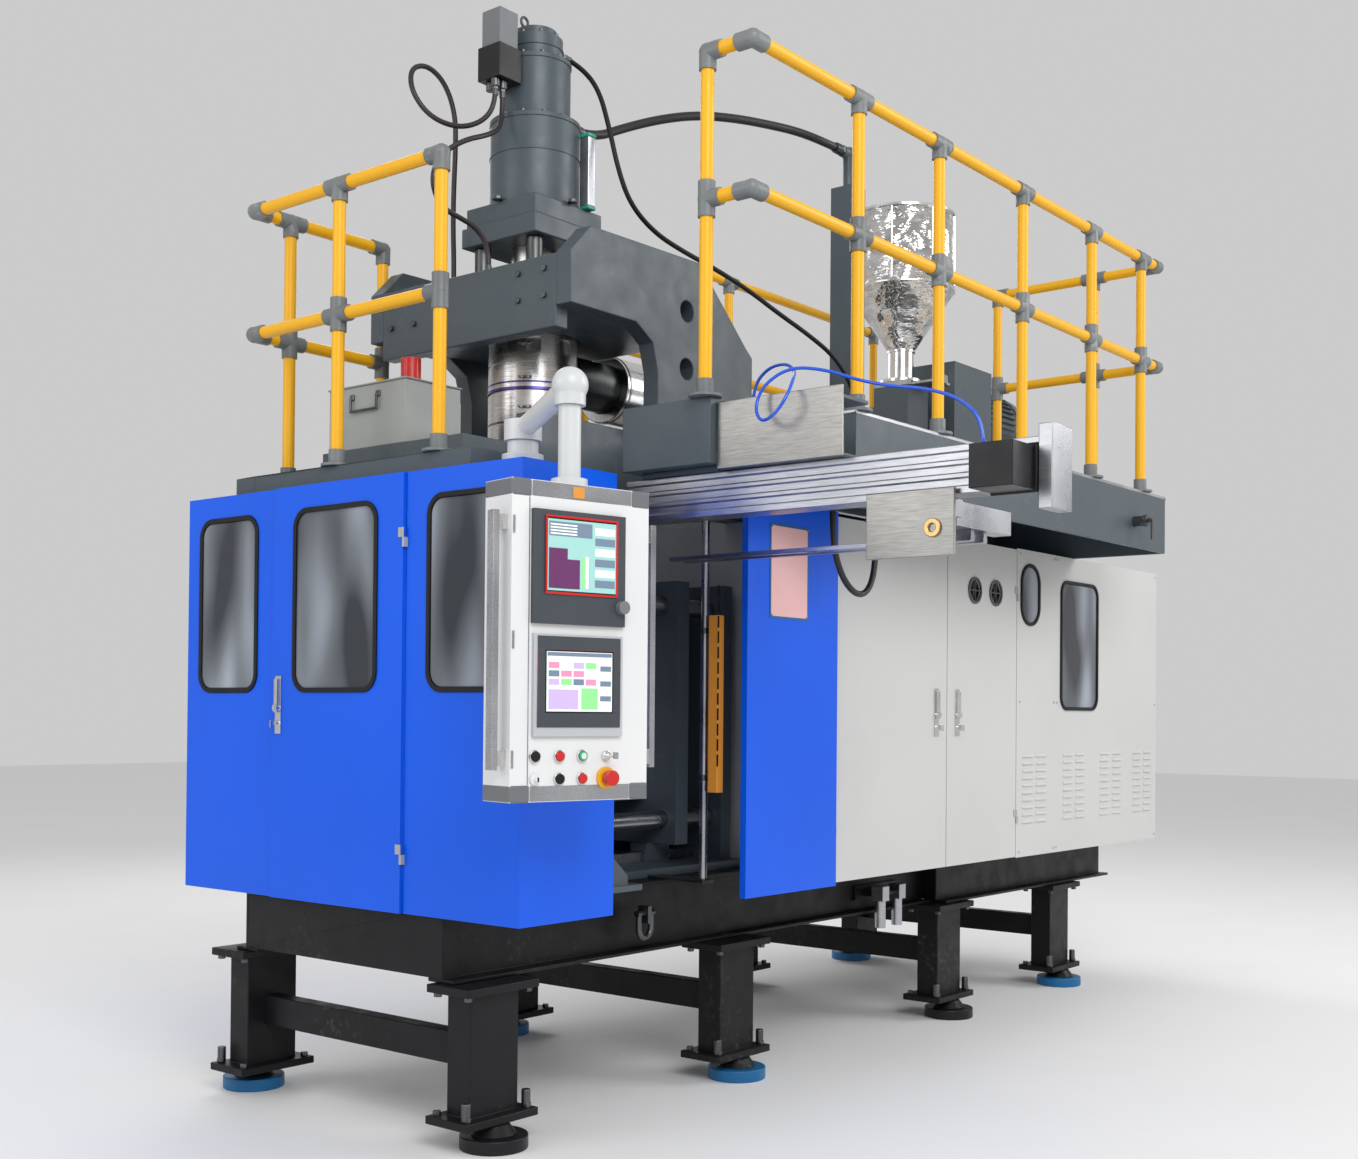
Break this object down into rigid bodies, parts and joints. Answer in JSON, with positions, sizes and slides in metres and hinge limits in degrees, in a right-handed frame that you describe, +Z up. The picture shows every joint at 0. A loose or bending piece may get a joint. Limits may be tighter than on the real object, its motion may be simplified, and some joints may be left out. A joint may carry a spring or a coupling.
{
  "type": "blow moulding machine",
  "caption": "Extrusion blow moulding machine: blue mould bay, grey power cabinet, railed walkway, die head, extruder with hopper, and a swinging operator pendant.",
  "frame": {"origin": "middle of the footprint, on the floor", "axes": "+X along the operator side from the blue mould bay to the drive end, +Y from the operator side to the back, +Z up"},
  "size_m": [4.9664, 2.99, 3.8169],
  "materials": {
    "blue_paint": "painted gloss",
    "grey_paint": "painted satin",
    "slate_paint": "painted satin",
    "black_paint": "painted satin",
    "yellow_paint": "painted gloss",
    "steel": "machined",
    "stainless": "brushed",
    "aluminium": "satin anodised",
    "cast_iron": "cast, painted grey",
    "pane": "clear, greyish",
    "rubber": "matt",
    "plastic_black": "satin",
    "plastic_red": "satin",
    "plastic_green": "satin",
    "plastic_white": "satin",
    "plastic_grey": "satin"
  },
  "bodies": {
    "machine": {"air_tube": "rubber", "base_frame": "black_paint", "cabinet_casing": "grey_paint", "casing_windows": "pane", "cheek_plates": "slate_paint", "clamp_frame": "slate_paint", "corner_casing": "blue_paint", "die_head": "steel", "drop_hose": "rubber", "extruder_barrel": "stainless", "extruder_drive": "slate_paint", "feed_hopper": "stainless", "guard_rail_fittings": "cast_iron", "guard_rail_tubes": "yellow_paint", "head_cable": "rubber", "head_carrier": "slate_paint", "head_cylinder": "steel", "head_hose": "rubber", "levelling_feet": "black_paint", "light_curtain": "yellow_paint", "oil_tank": "grey_paint", "pendant_bracket": "grey_paint", "platform": "slate_paint", "rear_casing": "blue_paint", "return_hose": "rubber", "service_fittings": "steel", "servo_hose": "rubber", "servo_valve": "aluminium", "support_legs": "black_paint", "takeout_beam": "black_paint"},
    "side_door": {"side_door": "blue_paint"},
    "side_door_latch": {"side_door_latch": "plastic_black"},
    "safety_door": {"safety_door": "blue_paint"},
    "cabinet_door_left": {"cabinet_door_left": "grey_paint"},
    "cabinet_door_right": {"cabinet_door_right": "grey_paint"},
    "cabinet_latch_left": {"cabinet_latch_left": "plastic_black"},
    "cabinet_latch_right": {"cabinet_latch_right": "plastic_black"},
    "fan_left": {"fan_left": "plastic_black"},
    "fan_right": {"fan_right": "plastic_black"},
    "pendant_arm": {"pendant_arm": "aluminium"},
    "pendant_box": {"pendant_box": "grey_paint"},
    "black_button_upper": {"black_button_upper": "plastic_black"},
    "red_button_upper": {"red_button_upper": "plastic_red"},
    "green_button": {"green_button": "plastic_green"},
    "black_button_lower": {"black_button_lower": "plastic_black"},
    "red_button_lower": {"red_button_lower": "plastic_red"},
    "emergency_stop": {"emergency_stop": "plastic_red"},
    "key_switch": {"key_switch": "steel"},
    "white_selector": {"white_selector": "plastic_white"},
    "dial_knob": {"dial_knob": "plastic_grey"},
    "platen_left": {"platen_left": "steel"},
    "platen_right": {"platen_right": "steel"},
    "blow_pin": {"blow_pin": "steel"},
    "die_mandrel": {"die_mandrel": "steel"},
    "extruder_screw": {"extruder_screw": "steel"},
    "hopper_gate": {"hopper_gate": "steel"},
    "takeout_carriage": {"takeout_carriage": "black_paint"},
    "gripper_left": {"gripper_left": "aluminium"},
    "gripper_right": {"gripper_right": "aluminium"},
    "ball_valve_lever": {"ball_valve_lever": "yellow_paint"}
  },
  "joints": [
    {"name": "side_door_hinge", "type": "hinge", "parent": "machine", "child": "side_door", "pos_m": [-2.13001, 0.352, 1.325], "axis": [0, 0, 1], "range_deg": [0, 110]},
    {"name": "side_door_latch_turn", "type": "hinge", "parent": "side_door", "child": "side_door_latch", "pos_m": [-2.13881, 0.96, 1.315], "axis": [1, 0, 0], "range_deg": [0, 90]},
    {"name": "safety_door_slide", "type": "slide", "parent": "machine", "child": "safety_door", "axis": [-1, 0, 0], "range_m": [-0.55, 0]},
    {"name": "cabinet_door_left_hinge", "type": "hinge", "parent": "machine", "child": "cabinet_door_left", "pos_m": [-0.49781, -0.1482, 1.365], "axis": [0, 0, -1], "range_deg": [0, 90]},
    {"name": "cabinet_door_right_hinge", "type": "hinge", "parent": "machine", "child": "cabinet_door_right", "pos_m": [0.94119, -0.1482, 1.365], "axis": [0, 0, 1], "range_deg": [0, 90]},
    {"name": "cabinet_latch_left_turn", "type": "hinge", "parent": "cabinet_door_left", "child": "cabinet_latch_left", "pos_m": [0.24419, -0.157, 1.31], "axis": [0, 1, 0], "range_deg": [0, 90]},
    {"name": "cabinet_latch_right_turn", "type": "hinge", "parent": "cabinet_door_right", "child": "cabinet_latch_right", "pos_m": [0.41419, -0.157, 1.31], "axis": [0, 1, 0], "range_deg": [-90, 0]},
    {"name": "fan_left_spin", "type": "hinge", "parent": "cabinet_door_right", "child": "fan_left", "pos_m": [0.55919, -0.1375, 1.831], "axis": [0, 1, 0], "continuous": true},
    {"name": "fan_right_spin", "type": "hinge", "parent": "cabinet_door_right", "child": "fan_right", "pos_m": [0.74319, -0.1375, 1.831], "axis": [0, 1, 0], "continuous": true},
    {"name": "pendant_arm_swing", "type": "hinge", "parent": "machine", "child": "pendant_arm", "pos_m": [-2.02681, -0.055, 2.14], "axis": [0, 0, 1], "range_deg": [-30, 40]},
    {"name": "pendant_box_turn", "type": "hinge", "parent": "pendant_arm", "child": "pendant_box", "pos_m": [-2.21181, -0.415, 2.139], "axis": [0, 0, 1], "range_deg": [-30, 30]},
    {"name": "black_button_upper_press", "type": "slide", "parent": "pendant_box", "child": "black_button_upper", "axis": [0.2011, 0.9796, 0], "range_m": [0, 0.004], "stiffness_N_per_m": 700},
    {"name": "red_button_upper_press", "type": "slide", "parent": "pendant_box", "child": "red_button_upper", "axis": [0.2011, 0.9796, 0], "range_m": [0, 0.004], "stiffness_N_per_m": 700},
    {"name": "green_button_press", "type": "slide", "parent": "pendant_box", "child": "green_button", "axis": [0.2011, 0.9796, 0], "range_m": [0, 0.004], "stiffness_N_per_m": 700},
    {"name": "black_button_lower_press", "type": "slide", "parent": "pendant_box", "child": "black_button_lower", "axis": [0.2011, 0.9796, 0], "range_m": [0, 0.004], "stiffness_N_per_m": 700},
    {"name": "red_button_lower_press", "type": "slide", "parent": "pendant_box", "child": "red_button_lower", "axis": [0.2011, 0.9796, 0], "range_m": [0, 0.004], "stiffness_N_per_m": 700},
    {"name": "emergency_stop_press", "type": "slide", "parent": "pendant_box", "child": "emergency_stop", "axis": [0.2011, 0.9796, 0], "range_m": [0, 0.0045], "stiffness_N_per_m": 1500},
    {"name": "key_switch_turn", "type": "hinge", "parent": "pendant_box", "child": "key_switch", "pos_m": [-2.14436, -0.49418, 1.193], "axis": [0.2011, 0.9796, 0], "range_deg": [0, 90]},
    {"name": "white_selector_turn", "type": "hinge", "parent": "pendant_box", "child": "white_selector", "pos_m": [-2.37162, -0.44753, 1.133], "axis": [0.2011, 0.9796, 0], "range_deg": [-45, 45]},
    {"name": "dial_knob_turn", "type": "hinge", "parent": "pendant_box", "child": "dial_knob", "pos_m": [-2.10909, -0.50142, 1.593], "axis": [0.2011, 0.9796, 0], "range_deg": [-135, 135]},
    {"name": "platen_left_close", "type": "slide", "parent": "machine", "child": "platen_left", "axis": [1, 0, 0], "range_m": [0, 0.1598]},
    {"name": "platen_right_close", "type": "slide", "parent": "machine", "child": "platen_right", "axis": [1, 0, 0], "range_m": [-0.1598, 0]},
    {"name": "blow_pin_rise", "type": "slide", "parent": "machine", "child": "blow_pin", "axis": [0, 0, 1], "range_m": [0, 0.1]},
    {"name": "die_mandrel_drop", "type": "slide", "parent": "machine", "child": "die_mandrel", "axis": [0, 0, -1], "range_m": [0, 0.012]},
    {"name": "extruder_screw_spin", "type": "hinge", "parent": "machine", "child": "extruder_screw", "pos_m": [0.26319, 0.678, 2.54], "axis": [1, 0, 0], "continuous": true},
    {"name": "hopper_gate_slide", "type": "slide", "parent": "machine", "child": "hopper_gate", "axis": [0, -1, 0], "range_m": [0, 0.12]},
    {"name": "takeout_carriage_travel", "type": "slide", "parent": "machine", "child": "takeout_carriage", "axis": [0, 1, 0], "range_m": [-0.1, 0.7]},
    {"name": "gripper_left_close", "type": "slide", "parent": "takeout_carriage", "child": "gripper_left", "axis": [1, 0, 0], "range_m": [0, 0.02]},
    {"name": "gripper_right_close", "type": "slide", "parent": "takeout_carriage", "child": "gripper_right", "axis": [1, 0, 0], "range_m": [-0.02, 0]},
    {"name": "ball_valve_turn", "type": "hinge", "parent": "machine", "child": "ball_valve_lever", "pos_m": [1.18119, -0.636, 2.151], "axis": [0, 1, 0], "range_deg": [0, 90]}
  ],
  "couplings": [
    {"joint": "platen_right_close", "follows": "platen_left_close", "ratio": -1},
    {"joint": "gripper_right_close", "follows": "gripper_left_close", "ratio": -1}
  ]
}
